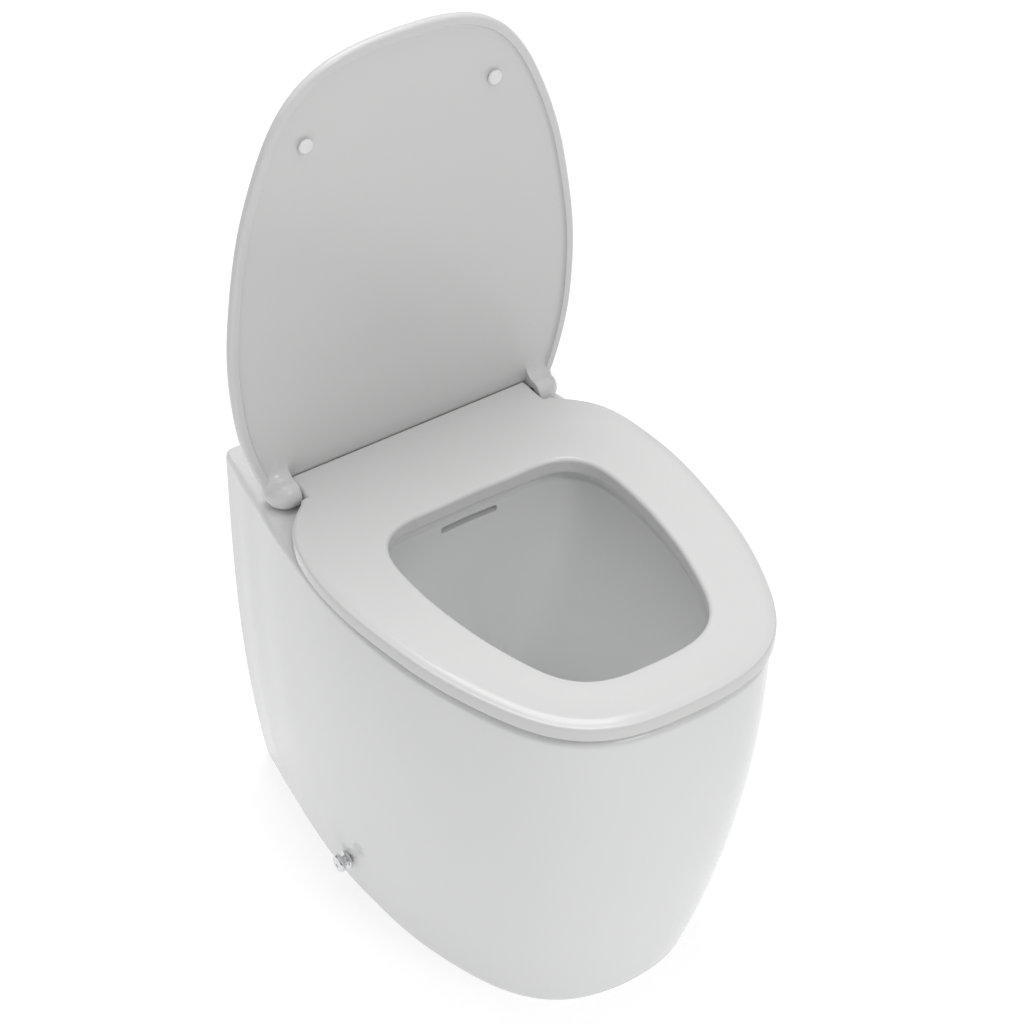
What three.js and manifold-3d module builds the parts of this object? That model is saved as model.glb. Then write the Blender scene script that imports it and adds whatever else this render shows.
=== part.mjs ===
// Floor-standing back-to-wall WC pan with a slim soft-close seat and cover.
// Millimetres. +X right, -Y front, +Z up. The wall plane is y = 0 and the floor is z = 0
// until the whole assembly is centred in depth at the end.
import * as THREE from "three";
import { mergeVertices } from "three/addons/utils/BufferGeometryUtils.js";
import Module from "manifold-3d";

const wasm = await Module();
wasm.setup();
const { Manifold, Mesh: SolidMesh } = wasm;

// ---------------------------------------------------------------- driving dimensions
const PAN_HEIGHT = 400; // floor to the top of the china
const DECK_THICKNESS = 14;
const WALL = 13; // china wall of the skirt
const BOWL_WALL = 11;
const DEPTH = 545.5; // wall to the front of the seat
const FRONT_TAPER = 1.9; // how fast the skirt draws in towards the floor, front and sides
const REAR_TAPER = 2.85; // and along its rear edges

const HINGE_Y = -106;
const HINGE_Z = 415;
const HINGE_HOLE_X = 77.5; // 155 mm between the two deck holes
const LID_OPEN_DEG = 90.5;

const SEAT_BOTTOM = 405.6;
const SEAT_TOP = 422;
const BAR_HALF = 130.5; // half width of the seat's rear bar, between the cover's ears
const BAR_NOSE_R = 13;

const LID_BOTTOM = 424;
const LID_TOP = 437;
const LID_RECESS = 3;
const LID_LIP = 5;
const EAR_INNER_X = 132;
const EAR_R = 13.5;
const LID_CUT_T = 9.5; // the plate between the ears starts this far in front of the hinge axis

const PIN_R = 2.5;
const DAMPER_R = 5;
const STUD_R = 4;
const DECK_HOLE_R = 7;

const INLET_Z = 335;
const SLOT_Z = 381; // flush slot, just under the rim at the rear of the bowl
const INLET_R = 20;
const INLET_OUTER_R = 31;
const OUTLET_Z = 186;
const OUTLET_R = 43;
const OUTLET_OUTER_R = 51;
const TRAP_R = 27;
const TRAP_OUTER_R = 35;

const SIDE_FIX_Y = -212;
const SIDE_FIX_Z = 40;

// Half outlines in plan, from the front centre to the back, right side.
const SEAT_SIDE = [
  [0, -545.5], [30, -544.2], [58, -540.2], [84, -531.5], [106, -517], [123, -498], [138, -473],
  [151, -443], [163, -408], [173, -367], [180, -325], [184.5, -285], [185.8, -250], [183.6, -215],
  [178.6, -188], [172.5, -169], [163.5, -153.5], [152.5, -141], [141, -131], [134, -121],
];
const LID_SIDE = [
  [0, -545.5], [30, -544.2], [58, -540.2], [84, -531.5], [106, -517], [123, -498], [138, -473],
  [151, -443], [163, -408], [173, -367], [180, -325], [184.5, -285], [185.8, -250], [184, -214],
  [180.3, -182], [175, -159], [169, -137], [162.5, -120], [156, -107.5], [149.5, -98.5], [142, -93.6],
];
const HOLE = [
  [0, -486], [18, -485.3], [36, -483.2], [53, -479], [66, -471.5], [77, -460], [86.5, -444],
  [94, -424], [100.5, -402], [106.5, -378], [111, -353], [114.5, -327], [116.6, -300], [117, -275],
  [115.5, -252], [111.5, -235], [105, -222.5], [95.5, -213.5], [82, -208.5], [62, -206.3],
  [40, -205.6], [18, -205.3], [0, -205.3],
];
const PAN_TOP_SIDE = [
  [0, -541.5], [30, -540.2], [57, -536.2], [82, -527.5], [103.5, -513.5], [120, -495], [134.8, -470.5],
  [147.8, -441], [159.8, -406.5], [169.6, -366], [176.5, -324.5], [180.5, -285], [181.5, -250],
  [179.5, -210], [175.5, -170], [170, -130], [163, -90], [155, -45], [147.5, -8],
];
const PAN_FLOOR_SIDE = [
  [0, -463], [25, -462], [48, -457.5], [68, -447.5], [84, -435], [96, -421], [107, -404], [117, -382],
  [126, -355], [133.5, -327], [139, -296], [142.5, -262], [144.3, -230], [144.8, -196], [143, -160],
  [139.5, -125], [134, -87], [127.5, -45], [121, -8],
];

// ---------------------------------------------------------------- helpers
const { PI, cos, sin, hypot, atan2, round, pow, max, min } = Math;
const lerp = (a, b, t) => a + (b - a) * t;

function solid(geometry) {
  const g = geometry.index ? geometry.toNonIndexed() : geometry.clone();
  g.deleteAttribute("normal");
  g.deleteAttribute("uv");
  const m = mergeVertices(g, 1e-4);
  return new Manifold(
    new SolidMesh({
      numProp: 3,
      vertProperties: Float32Array.from(m.attributes.position.array),
      triVerts: Uint32Array.from(m.index.array),
    }),
  );
}

function geometryOf(manifold) {
  const mesh = manifold.getMesh();
  const g = new THREE.BufferGeometry();
  const src = mesh.vertProperties;
  const pos = new Float32Array((src.length / mesh.numProp) * 3);
  for (let i = 0, j = 0; i < src.length; i += mesh.numProp) {
    pos[j++] = src[i];
    pos[j++] = src[i + 1];
    pos[j++] = src[i + 2];
  }
  g.setAttribute("position", new THREE.BufferAttribute(pos, 3));
  g.setIndex(new THREE.BufferAttribute(Uint32Array.from(mesh.triVerts), 1));
  g.computeVertexNormals();
  return g;
}

const union = (...parts) => parts.reduce((a, b) => a.add(b));

// A smooth closed plan outline through mirrored half points, k samples to each span.
function closedOutline(half, k = 1) {
  const pts = [...half, ...half.slice(1, -1).reverse().map(([x, y]) => [-x, y])];
  const curve = new THREE.CatmullRomCurve3(
    pts.map(([x, y]) => new THREE.Vector3(x, y, 0)),
    true,
    "centripetal",
  );
  const n = pts.length * k;
  const out = [];
  for (let i = 0; i < n; i++) {
    const p = curve.getPoint(i / n);
    out.push([p.x, p.y]);
  }
  return out;
}

// An open side curve resampled to n points of equal arc length, its mirror used at the front.
function resampleSide(side, n) {
  const pts = [[-side[1][0], side[1][1]], ...side];
  const curve = new THREE.CatmullRomCurve3(
    pts.map(([x, y]) => new THREE.Vector3(x, y, 0)),
    false,
    "centripetal",
  );
  const fine = [];
  const t0 = 1 / (pts.length - 1);
  for (let i = 0; i <= 600; i++) {
    const p = curve.getPoint(lerp(t0, 1, i / 600));
    fine.push([p.x, p.y]);
  }
  const s = [0];
  for (let i = 1; i < fine.length; i++)
    s.push(s[i - 1] + hypot(fine[i][0] - fine[i - 1][0], fine[i][1] - fine[i - 1][1]));
  const out = [];
  for (let i = 0, j = 0; i < n; i++) {
    const want = (s.at(-1) * i) / (n - 1);
    while (j < s.length - 2 && s[j + 1] < want) j++;
    const f = (want - s[j]) / (s[j + 1] - s[j]);
    out.push([lerp(fine[j][0], fine[j + 1][0], f), lerp(fine[j][1], fine[j + 1][1], f)]);
  }
  out[0][0] = 0;
  return out;
}

// Pan plan: the side curve, a small rear corner and a flat back on the wall plane.
function panPlan(side, n = 19) {
  const half = resampleSide(side, n);
  const [w] = half.at(-1);
  const r = 8;
  for (const a of [30, 60, 90])
    half.push([w - r + r * cos((a * PI) / 180), -r + r * sin((a * PI) / 180)]);
  half.push([w * 0.6, 0], [w * 0.25, 0], [0, 0]);
  return [...half, ...half.slice(1, -1).reverse().map(([x, y]) => [-x, y])];
}

// Moves each point of a closed outline inwards by d (outwards when negative).
function inset(outline, d) {
  const n = outline.length;
  return outline.map(([x, y], i) => {
    const a = outline[(i + n - 1) % n];
    const b = outline[(i + 1) % n];
    const tx = b[0] - a[0];
    const ty = b[1] - a[1];
    const l = hypot(tx, ty);
    return [x - (ty / l) * d, y + (tx / l) * d];
  });
}

// Every second point, for surfaces inside the casting.
const thin = (outline) => outline.filter((_, i) => i % 2 === 0);

const ring = (outline, z) => outline.map(([x, y]) => [x, y, z]);

// A closed solid skinned over rings of equal count, bottom ring first. Rings start at the front
// centre and run towards +X. It is a capped CylinderGeometry whose rows are moved to the rings.
function loft(rings) {
  const n = rings[0].length;
  const rows = rings.length - 1;
  const g = new THREE.CylinderGeometry(1, 1, 1, n, rows);
  const p = g.attributes.position;
  const mids = rings.map((r) => [0, 1, 2].map((k) => r.reduce((s, q) => s + q[k], 0) / n));
  for (let i = 0; i < p.count; i++) {
    const x = p.getX(i);
    const z = p.getZ(i);
    const row = round((p.getY(i) + 0.5) * rows);
    const col = ((round((atan2(x, z) / (2 * PI)) * n) % n) + n) % n;
    const q = hypot(x, z) < 0.5 ? mids[row] : rings[row][col];
    p.setXYZ(i, q[0], q[1], q[2]);
  }
  return solid(g);
}

function box(x0, x1, y0, y1, z0, z1) {
  return solid(
    new THREE.BoxGeometry(x1 - x0, y1 - y0, z1 - z0).translate((x0 + x1) / 2, (y0 + y1) / 2, (z0 + z1) / 2),
  );
}

// Solids of revolution along an axis: profile is [[radius, along], ...] from axis to axis, or a closed loop.
function lathe(profile, axis, at, segments = 24) {
  const g = new THREE.LatheGeometry(profile.map(([r, h]) => new THREE.Vector2(r, h)), segments);
  if (axis === "z") g.rotateX(PI / 2);
  if (axis === "x") g.rotateZ(-PI / 2);
  g.translate(...at);
  return solid(g);
}

function rod(r, a, b, axis, at, segments = 24) {
  return lathe([[0, a], [r, a], [r, b], [0, b]], axis, at, segments);
}

function tube(r0, r1, a, b, axis, at, segments = 24) {
  return lathe([[r0, a], [r1, a], [r1, b], [r0, b], [r0, a]], axis, at, segments);
}

// Turns a solid about the hinge line, raising its front.
function raise(geometry, deg) {
  return geometry
    .translate(0, -HINGE_Y, -HINGE_Z)
    .rotateX((-deg * PI) / 180)
    .translate(0, HINGE_Y, HINGE_Z);
}

const sides = [["right", 1], ["left", -1]];
// Mirrors a right-hand solid to the left side.
function handed(manifold, s) {
  if (s > 0) return manifold;
  const g = geometryOf(manifold);
  const p = g.attributes.position;
  for (let i = 0; i < p.count; i++) p.setX(i, -p.getX(i));
  const ix = g.index.array;
  for (let i = 0; i < ix.length; i += 3) [ix[i + 1], ix[i + 2]] = [ix[i + 2], ix[i + 1]];
  return solid(g);
}

const assembly = new THREE.Group();
const china = { color: 0xe9eaec, roughness: 0.08, metalness: 0 };
const duroplast = { color: 0xf0f0f1, roughness: 0.16, metalness: 0 };
const bufferMat = { color: 0xf3f3f4, roughness: 0.45, metalness: 0 };
const steel = { color: 0xb9bcc0, roughness: 0.3, metalness: 1 };
const chrome = { color: 0xd6d9dc, roughness: 0.06, metalness: 1 };
const greyPlastic = { color: 0x8d9094, roughness: 0.55, metalness: 0 };
const whitePlastic = { color: 0xdcdddf, roughness: 0.4, metalness: 0 };
const rubber = { color: 0x26272a, roughness: 0.8, metalness: 0 };

function add(name, shape, look, open = false) {
  const g = shape.isBufferGeometry ? shape : geometryOf(shape);
  if (open) raise(g, LID_OPEN_DEG);
  g.computeVertexNormals();
  const mesh = new THREE.Mesh(g, new THREE.MeshStandardMaterial(look));
  mesh.name = name;
  assembly.add(mesh);
}

// ---------------------------------------------------------------- pan
const planTop = panPlan(PAN_TOP_SIDE);
const planFloor = panPlan(PAN_FLOOR_SIDE);
const HALF_COUNT = planTop.length / 2;

// Plan of the skirt's outside at height z.
function skirt(z) {
  const u = 1 - min(z, PAN_HEIGHT) / PAN_HEIGHT;
  return planTop.map(([x, y], i) => {
    const k = (i <= HALF_COUNT ? i : planTop.length - i) / HALF_COUNT;
    let w = min(max((k - 0.4) / 0.4, 0), 1);
    w = w * w * (3 - 2 * w);
    const s = pow(u, lerp(FRONT_TAPER, REAR_TAPER, w));
    return [lerp(x, planFloor[i][0], s), lerp(y, planFloor[i][1], s)];
  });
}

const outside = loft([
  ring(inset(skirt(0), 1.6), 0),
  ...[1.8, 50, 100, 155, 215, 280, 350].map((z) => ring(skirt(z), z)),
  ...[[394, 0], [397.4, 1], [399.3, 3.3], [PAN_HEIGHT, 6.2]].map(([z, d]) =>
    ring(inset(skirt(z), d), z),
  ),
]);

const hollow = loft(
  [-2, 50, 100, 155, 215, 280, PAN_HEIGHT - DECK_THICKNESS].map((z) =>
    ring(thin(inset(skirt(max(z, 0)), WALL)), z),
  ),
);
const rearWindow = box(-100, 100, -40, 6, -2, 300);

// Bowl levels: [z, half width, front y, rear y, blend from rim shape to ellipse]
const BOWL = [
  [96, 20, -296, -252, 1],
  [103, 32, -310, -234, 1],
  [116, 41, -326, -222, 1],
  [140, 50, -346, -214, 0.95],
  [165, 58, -366, -211, 0.85],
  [205, 73, -408, -207, 0.65],
  [250, 91, -447, -203, 0.4],
  [300, 109, -477, -199, 0.2],
  [340, 119.5, -490.5, -196.8, 0.05],
  [372, 124.4, -494.4, -195, 0],
  [387, 125.4, -495.2, -194.4, 0],
  [390.5, 127.3, -496.9, -192.7, 0],
  [394, 127.5, -497, -192.5, 0],
  [397.5, 128.3, -497.8, -191.7, 0],
  [399.4, 130, -499.5, -190, 0],
  [402, 133, -502.5, -187, 0],
];
const holePlan = closedOutline(HOLE, 1);
function bowlRing([z, hw, yf, yr, e], grow = 0) {
  const yc = (yf + yr) / 2;
  const hl = (yr - yf) / 2 + grow;
  const plan = grow ? thin(holePlan) : holePlan;
  return plan.map(([x, y]) => {
    const a = x / 117;
    const b = (y + 345.65) / 140.35;
    const l = hypot(a, b);
    return [lerp(a, a / l, e) * (hw + grow), yc + lerp(b, b / l, e) * hl, z];
  });
}
const bowlInside = loft(BOWL.map((l) => bowlRing(l)));
const bowlShell = loft([
  bowlRing([84, 16, -292, -256, 1], BOWL_WALL - 5),
  ...[1, 3, 4, 5, 6, 7, 8].map((i) => BOWL[i]).map((l) => bowlRing([l[0] - 8, ...l.slice(1)], BOWL_WALL)),
  bowlRing([372, 127, -496, -194, 0], BOWL_WALL),
  bowlRing([390, 128, -497, -193, 0], BOWL_WALL),
]);

const trapPoints = [
  [-262, 128], [-226, 112], [-186, 116], [-156, 146], [-136, 180], [-110, 210], [-80, 214], [-50, 198], [-22, 187],
].map(([y, z]) => new THREE.Vector3(0, y, z));
const trapCurve = new THREE.CatmullRomCurve3(trapPoints, false, "centripetal");
function trap(r, segments) {
  const shape = new THREE.Shape();
  shape.absarc(0, 0, r, 0, 2 * PI, false);
  return solid(
    new THREE.ExtrudeGeometry(shape, {
      steps: 14,
      curveSegments: segments,
      bevelEnabled: false,
      extrudePath: trapCurve,
    }),
  );
}

let pan = outside.subtract(hollow).subtract(rearWindow);
pan = union(
  pan,
  bowlShell,
  trap(TRAP_OUTER_R, 8),
  rod(INLET_OUTER_R, -197, -6, "y", [0, 0, INLET_Z], 24),
  box(-44, 44, -200, -158, INLET_Z - 18, PAN_HEIGHT - DECK_THICKNESS + 1),
  rod(OUTLET_OUTER_R, -62, -16, "y", [0, 0, OUTLET_Z], 32),
);
pan = pan
  .subtract(bowlInside)
  .subtract(trap(TRAP_R, 8))
  .subtract(rod(INLET_R, -180, 6, "y", [0, 0, INLET_Z], 24))
  .subtract(box(-34, 34, -185, -168, INLET_Z - 8, SLOT_Z + 4))
  .subtract(box(-32, 32, -205, -178, SLOT_Z - 4, SLOT_Z + 4))
  .subtract(rod(OUTLET_R, -55, 4, "y", [0, 0, OUTLET_Z], 28));
for (const [, s] of sides) {
  pan = pan.subtract(rod(DECK_HOLE_R, 370, 410, "z", [s * HINGE_HOLE_X, HINGE_Y, 0], 24));
  pan = pan.subtract(rod(5, s > 0 ? 118 : -175, s > 0 ? 175 : -118, "x", [0, SIDE_FIX_Y, SIDE_FIX_Z], 20));
}
add("pan", pan, china);

// ---------------------------------------------------------------- seat
const seatHalf = [...SEAT_SIDE, [131.5, -108], [130.5, -96], [122, -91.5], [60, -91.5], [0, -91.5]];
const seatPlan = closedOutline(seatHalf, 1);
let seat = loft(
  [[SEAT_BOTTOM, 1.4], [406.8, 0], [418.4, 0], [420.4, 0.7], [421.6, 2.2], [SEAT_TOP, 4.4]].map(
    ([z, d]) => ring(inset(seatPlan, d), z),
  ),
);
seat = seat.subtract(
  loft(
    [[402, 1.6], [SEAT_BOTTOM, 1.3], [407, 0], [418.2, 0], [420.3, 0.8], [421.6, 2.4], [422.05, 4.8], [424, 5.2]].map(
      ([z, d]) => ring(inset(holePlan, -d), z),
    ),
  ),
);
// Room for the cover's ears at both rear corners, and a rounded rear bar that turns clear of the deck.
for (const [, s] of sides)
  seat = seat.subtract(box(min(s * BAR_HALF, s * 200), max(s * BAR_HALF, s * 200), -129, -60, 390, 430));
seat = seat.subtract(
  box(-140, 140, HINGE_Y, -60, 390, 430).subtract(rod(BAR_NOSE_R, -150, 150, "x", [0, HINGE_Y, HINGE_Z], 40)),
);
// The bar's underside is relieved so that the raised seat clears the closed cover's straight edge.
seat = seat.subtract(box(-BAR_HALF - 0.5, BAR_HALF + 0.5, -132, HINGE_Y - 7, 390, 406.7));
for (const [, s] of sides) {
  const between = (a, b) => [min(s * a, s * b), max(s * a, s * b)];
  seat = seat.subtract(box(...between(71.5, 83.5), HINGE_Y - 6, -60, 390, HINGE_Z + 5.2));
  seat = seat.subtract(rod(2.7, ...between(65.5, 92), "x", [0, HINGE_Y, HINGE_Z], 16));
  seat = seat.subtract(rod(DAMPER_R + 0.25, ...between(88, 140), "x", [0, HINGE_Y, HINGE_Z], 16));
}
add("seat", seat, duroplast);

// ---------------------------------------------------------------- cover, modelled closed and then raised
const lidHalf = [...LID_SIDE, [134, -92.5], [122, -92.5], [60, -92.5], [0, -92.5]];
const lidPlan = closedOutline(lidHalf, 1);
let lid = loft(
  [[LID_BOTTOM, 2.2], [426, 0], [431.5, 0], [434.4, 1.3], [436.3, 4], [LID_TOP, 8.4]].map(
    ([z, d]) => ring(inset(lidPlan, d), z),
  ),
);
lid = lid.subtract(box(-EAR_INNER_X, EAR_INNER_X, HINGE_Y - LID_CUT_T, -60, 395, 450));
const earProfile = [[0, EAR_INNER_X], [EAR_R, EAR_INNER_X], [EAR_R, 139]];
for (const a of [18, 36, 54, 72, 90])
  earProfile.push([EAR_R * cos((a * PI) / 180), 139 + 20 * sin((a * PI) / 180)]);
earProfile[earProfile.length - 1][0] = 0;
for (const [, s] of sides)
  lid = lid.add(handed(lathe(earProfile, "x", [0, HINGE_Y, HINGE_Z], 24), s));
// Shallow recess on the underside, open at the straight rear edge.
const recessPlan = closedOutline(
  [
    ...LID_SIDE.slice(0, 14).map((p, i, a) => inset(lidPlan, LID_LIP)[i]).map(([x, y], i) => [i ? x : 0, y]),
    [175.4, -183], [169.4, -159], [160, -140], [148, -131.5], [134, -129], [120, -129], [60, -129], [0, -129],
  ],
  1,
);
const recess = loft(
  [[LID_BOTTOM - 4, 0], [LID_BOTTOM + 1, 0.3], [LID_BOTTOM + LID_RECESS, 3.4]].map(([z, d]) =>
    ring(inset(recessPlan, d), z),
  ),
);
lid = lid.subtract(recess);
lid = lid.subtract(box(-126, 126, -150, -100, LID_BOTTOM - 4, LID_BOTTOM + LID_RECESS));
for (const [, s] of sides) {
  const between = (a, b) => [min(s * a, s * b), max(s * a, s * b)];
  lid = lid.subtract(rod(DAMPER_R + 0.3, ...between(125, 150.3), "x", [0, HINGE_Y, HINGE_Z], 16));
}
add("lid", lid, duroplast, true);

for (const [side, s] of sides)
  add(
    "lid_buffer_" + side,
    lathe(
      [[0, 422.3], [6, 422.3], [7.2, 423.4], [6.6, 424.8], [5, 425], [5, 426.8], [0, 426.8]],
      "z",
      [s * 98, -464, 0],
      20,
    ),
    bufferMat,
    true,
  );

// Seat buffers under the ring.
function pad(cx, cy, turn) {
  const shape = new THREE.Shape();
  shape.absarc(11, 0, 6, -PI / 2, PI / 2, false);
  shape.absarc(-11, 0, 6, PI / 2, (3 * PI) / 2, false);
  const g = new THREE.ExtrudeGeometry(shape, {
    depth: 3.6, curveSegments: 3, bevelEnabled: true, bevelThickness: 0.7, bevelSize: 0.7, bevelOffset: -0.7, bevelSegments: 1,
  });
  g.translate(0, 0, 400.4 + 0.7);
  g.rotateZ(turn);
  g.translate(cx, cy, 0);
  return solid(g);
}
for (const [side, s] of sides) {
  add("seat_buffer_front_" + side, pad(s * 62, -516, s * 0.2), bufferMat);
  add("seat_buffer_side_" + side, pad(s * 154, -270, PI / 2 + s * 0.03), bufferMat);
}

// ---------------------------------------------------------------- hinge hardware
for (const [side, s] of sides) {
  const span = (a, b) => [min(s * a, s * b), max(s * a, s * b)];
  const hx = s * HINGE_HOLE_X;
  const post = union(
    rod(18, 400.3, 401.7, "z", [hx, HINGE_Y, 0], 24),
    box(hx - 4, hx + 4, HINGE_Y - 4.8, HINGE_Y + 4.8, 401, HINGE_Z),
    rod(4.8, hx - 4, hx + 4, "x", [0, HINGE_Y, HINGE_Z], 16),
  ).subtract(rod(2.8, hx - 10, hx + 10, "x", [0, HINGE_Y, HINGE_Z], 16));
  add("hinge_post_" + side, post, steel);
  add("hinge_pin_" + side, rod(PIN_R, ...span(66.2, 149), "x", [0, HINGE_Y, HINGE_Z], 16), steel);
  add("soft_close_damper_" + side, tube(2.7, DAMPER_R, ...span(88.4, 130), "x", [0, HINGE_Y, HINGE_Z], 16), greyPlastic);
  add("lid_hinge_bush_" + side, tube(2.7, DAMPER_R, ...span(132.4, 149.8), "x", [0, HINGE_Y, HINGE_Z], 16), greyPlastic, true);
  add("hinge_stud_" + side, rod(STUD_R, 350, 400, "z", [hx, HINGE_Y, 0], 12), steel);
  add("hinge_stud_bush_" + side, tube(4.3, 6.6, 386, 399.8, "z", [hx, HINGE_Y, 0], 16), rubber);
  add("hinge_washer_" + side, tube(4.3, 13, 383.6, 385.6, "z", [hx, HINGE_Y, 0], 16), greyPlastic);
  const nut = union(
    rod(8.5, 368, 383.2, "z", [hx, HINGE_Y, 0], 16),
    box(hx - 21, hx + 21, HINGE_Y - 2, HINGE_Y + 2, 369, 380),
  ).subtract(rod(4.3, 360, 390, "z", [hx, HINGE_Y, 0], 16));
  add("hinge_wing_nut_" + side, nut, whitePlastic);
}

// ---------------------------------------------------------------- floor fixing through the skirt
for (const [side, s] of sides) {
  const at = [0, SIDE_FIX_Y, SIDE_FIX_Z];
  const cap = lathe(
    [[0, 154.6], [9.4, 154.6], [9.4, 157], [8.4, 158.2], [5.4, 158.4], [5.4, 161.4], [8.8, 161.8], [8.8, 164.6], [7.2, 166.2], [0, 166.8]],
    "x", at, 20,
  );
  add("side_cap_" + side, handed(cap, s), chrome);
  add("side_screw_" + side, handed(rod(3, 104, 154.2, "x", at, 16), s), steel);
  add("side_sleeve_" + side, handed(tube(3.3, 4.6, 140, 152.4, "x", at, 20), s), whitePlastic);
  let bracket = union(
    box(72, 128.5, SIDE_FIX_Y - 22, SIDE_FIX_Y + 22, 0.4, 5.4),
    box(120, 128.5, SIDE_FIX_Y - 22, SIDE_FIX_Y + 22, 0.4, 49.5),
  );
  bracket = bracket
    .subtract(rod(3.4, 105, 140, "x", at, 16))
    .subtract(rod(3.4, -5, 10, "z", [92, SIDE_FIX_Y, 0], 16));
  add("floor_bracket_" + side, handed(bracket, s), greyPlastic);
  add(
    "floor_screw_" + side,
    lathe([[0, 0.6], [3, 0.6], [3, 5.8], [6.5, 5.8], [6.5, 7.6], [4.8, 9.4], [0, 9.8]], "z", [s * 92, SIDE_FIX_Y, 0], 16),
    steel,
  );
}

// ---------------------------------------------------------------- water connections
add(
  "flush_inlet_seal",
  lathe([[13.5, -34], [19.3, -34], [19.3, -3], [13.5, -3], [13.5, -34]], "y", [0, 0, INLET_Z], 20),
  rubber,
);
add(
  "outlet_collar",
  lathe([[51.6, -46], [54, -46], [54, -24], [56.6, -21], [56.6, -15], [51.6, -15], [51.6, -46]], "y", [0, 0, OUTLET_Z], 32),
  rubber,
);

assembly.position.set(0, DEPTH / 2, 0);
export default assembly;
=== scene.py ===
import math

import bmesh
import bpy
import numpy as np
from mathutils import Matrix, Vector


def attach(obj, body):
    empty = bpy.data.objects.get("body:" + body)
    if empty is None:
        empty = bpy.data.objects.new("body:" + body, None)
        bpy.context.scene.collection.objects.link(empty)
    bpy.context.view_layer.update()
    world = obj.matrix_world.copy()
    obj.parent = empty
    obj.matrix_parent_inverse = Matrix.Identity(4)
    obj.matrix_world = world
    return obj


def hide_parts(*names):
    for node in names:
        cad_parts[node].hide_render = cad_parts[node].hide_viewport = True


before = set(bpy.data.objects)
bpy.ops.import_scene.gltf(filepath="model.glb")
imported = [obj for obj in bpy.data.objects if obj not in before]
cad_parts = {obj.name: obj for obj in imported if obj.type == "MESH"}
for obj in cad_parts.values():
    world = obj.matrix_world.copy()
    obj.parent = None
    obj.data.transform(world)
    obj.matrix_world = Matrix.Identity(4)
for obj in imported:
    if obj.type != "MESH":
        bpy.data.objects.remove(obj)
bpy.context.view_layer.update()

# ------------------------------------------------------------------ dimensions, millimetres, wall plane at y = 0
SHIFT_Y = 272.75
PAN_HEIGHT = 400.0
WALL = 13.0
BOWL_WALL = 11.0
FRONT_TAPER, REAR_TAPER = 1.9, 2.85
HY, HZ = -106.0, 415.0
LID_OPEN = math.radians(90.5)
SEAT_BOTTOM, SEAT_TOP = 405.6, 422.0
LID_BOTTOM, LID_TOP = 424.0, 437.0
HINGE_X = 77.5

SEAT_SIDE = [(0, -545.5), (30, -544.2), (58, -540.2), (84, -531.5), (106, -517), (123, -498), (138, -473),
             (151, -443), (163, -408), (173, -367), (180, -325), (184.5, -285), (185.8, -250), (183.6, -215),
             (178.6, -188), (172.5, -169), (163.5, -153.5), (152.5, -141), (141, -131)]
LID_SIDE = [(0, -545.5), (30, -544.2), (58, -540.2), (84, -531.5), (106, -517), (123, -498), (138, -473),
            (151, -443), (163, -408), (173, -367), (180, -325), (184.5, -285), (185.8, -250), (184, -214),
            (180.3, -182), (175, -159), (169, -137), (162.5, -120), (156, -107.5), (149.5, -98.5), (142, -93.6)]
HOLE = [(0, -486), (18, -485.3), (36, -483.2), (53, -479), (66, -471.5), (77, -460), (86.5, -444),
        (94, -424), (100.5, -402), (106.5, -378), (111, -353), (114.5, -327), (116.6, -300), (117, -275),
        (115.5, -252), (111.5, -235), (105, -222.5), (95.5, -213.5), (82, -208.5), (62, -206.3),
        (40, -205.6), (18, -205.3), (0, -205.3)]
PAN_TOP_SIDE = [(0, -541.5), (30, -540.2), (57, -536.2), (82, -527.5), (103.5, -513.5), (120, -495), (134.8, -470.5),
                (147.8, -441), (159.8, -406.5), (169.6, -366), (176.5, -324.5), (180.5, -285), (181.5, -250),
                (179.5, -210), (175.5, -170), (170, -130), (163, -90), (155, -45), (147.5, -8)]
PAN_FLOOR_SIDE = [(0, -463), (25, -462), (48, -457.5), (68, -447.5), (84, -435), (96, -421), (107, -404), (117, -382),
                  (126, -355), (133.5, -327), (139, -296), (142.5, -262), (144.3, -230), (144.8, -196), (143, -160),
                  (139.5, -125), (134, -87), (127.5, -45), (121, -8)]
BOWL = [(96, 20, -296, -252, 1), (103, 32, -310, -234, 1), (116, 41, -326, -222, 1), (140, 50, -346, -214, 0.95),
        (165, 58, -366, -211, 0.85), (205, 73, -408, -207, 0.65), (250, 91, -447, -203, 0.4), (300, 109, -477, -199, 0.2),
        (340, 119.5, -490.5, -196.8, 0.05), (372, 124.4, -494.4, -195, 0), (387, 125.4, -495.2, -194.4, 0),
        (388.4, 125.9, -495.7, -193.9, 0), (390.5, 127.3, -496.9, -192.7, 0), (394, 127.5, -497, -192.5, 0)]


# ------------------------------------------------------------------ curve tools
def resample(p, n, closed=False):
    p = np.asarray(p, float)
    if closed:
        p = np.vstack([p, p[:1]])
    s = np.r_[0, np.cumsum(np.hypot(*np.diff(p, axis=0).T))]
    t = np.linspace(0, s[-1], n + 1)[:-1] if closed else np.linspace(0, s[-1], n)
    return np.stack([np.interp(t, s, p[:, 0]), np.interp(t, s, p[:, 1])], 1)


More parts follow.
